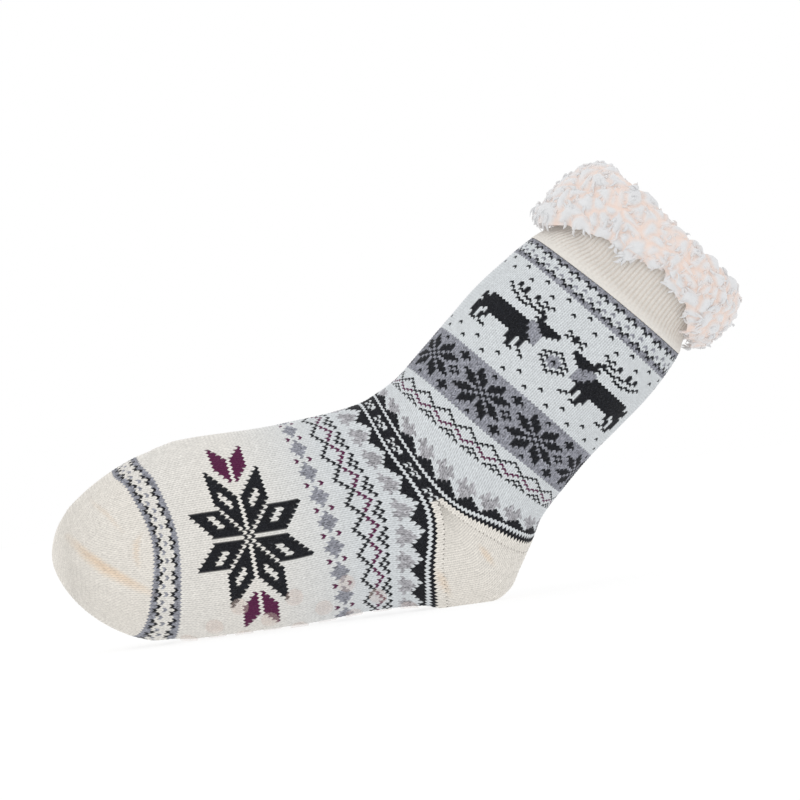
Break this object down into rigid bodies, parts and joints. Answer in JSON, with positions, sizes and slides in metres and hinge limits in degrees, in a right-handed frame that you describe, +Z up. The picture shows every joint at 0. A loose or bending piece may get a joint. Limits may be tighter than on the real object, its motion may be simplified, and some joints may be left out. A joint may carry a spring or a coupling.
{
  "type": "slipper sock",
  "caption": "Knitted slipper sock with a shaggy fleece collar turned out over its rim and rubber grip dots under the foot.",
  "frame": {"origin": "on the floor at the middle of the heel's rest", "axes": "+Z up; -X towards the toe; the leg rises towards +X; +Y the sock's other side"},
  "size_m": [0.3613, 0.0772, 0.2133],
  "materials": {
    "knit": "thick stocking-stitch knit, patterned in black, grey and purple yarn",
    "fleece": "long shaggy fleece pile",
    "grip": "printed translucent rubber, satin"
  },
  "bodies": {
    "root": {"knit_upper": "knit", "fleece_collar": "fleece", "grip_dot_01": "grip", "grip_dot_02": "grip", "grip_dot_03": "grip", "grip_dot_04": "grip", "grip_dot_05": "grip", "grip_dot_06": "grip", "grip_dot_07": "grip", "grip_dot_08": "grip", "grip_dot_09": "grip", "grip_dot_10": "grip", "grip_dot_11": "grip", "grip_dot_12": "grip", "grip_dot_13": "grip", "grip_dot_14": "grip", "grip_dot_15": "grip", "grip_dot_16": "grip", "grip_dot_17": "grip", "grip_dot_18": "grip", "grip_dot_19": "grip", "grip_dot_20": "grip", "grip_dot_21": "grip", "grip_dot_22": "grip", "grip_dot_23": "grip", "grip_dot_24": "grip", "grip_dot_25": "grip", "grip_dot_26": "grip", "grip_dot_27": "grip", "grip_dot_28": "grip"}
  },
  "joints": []
}
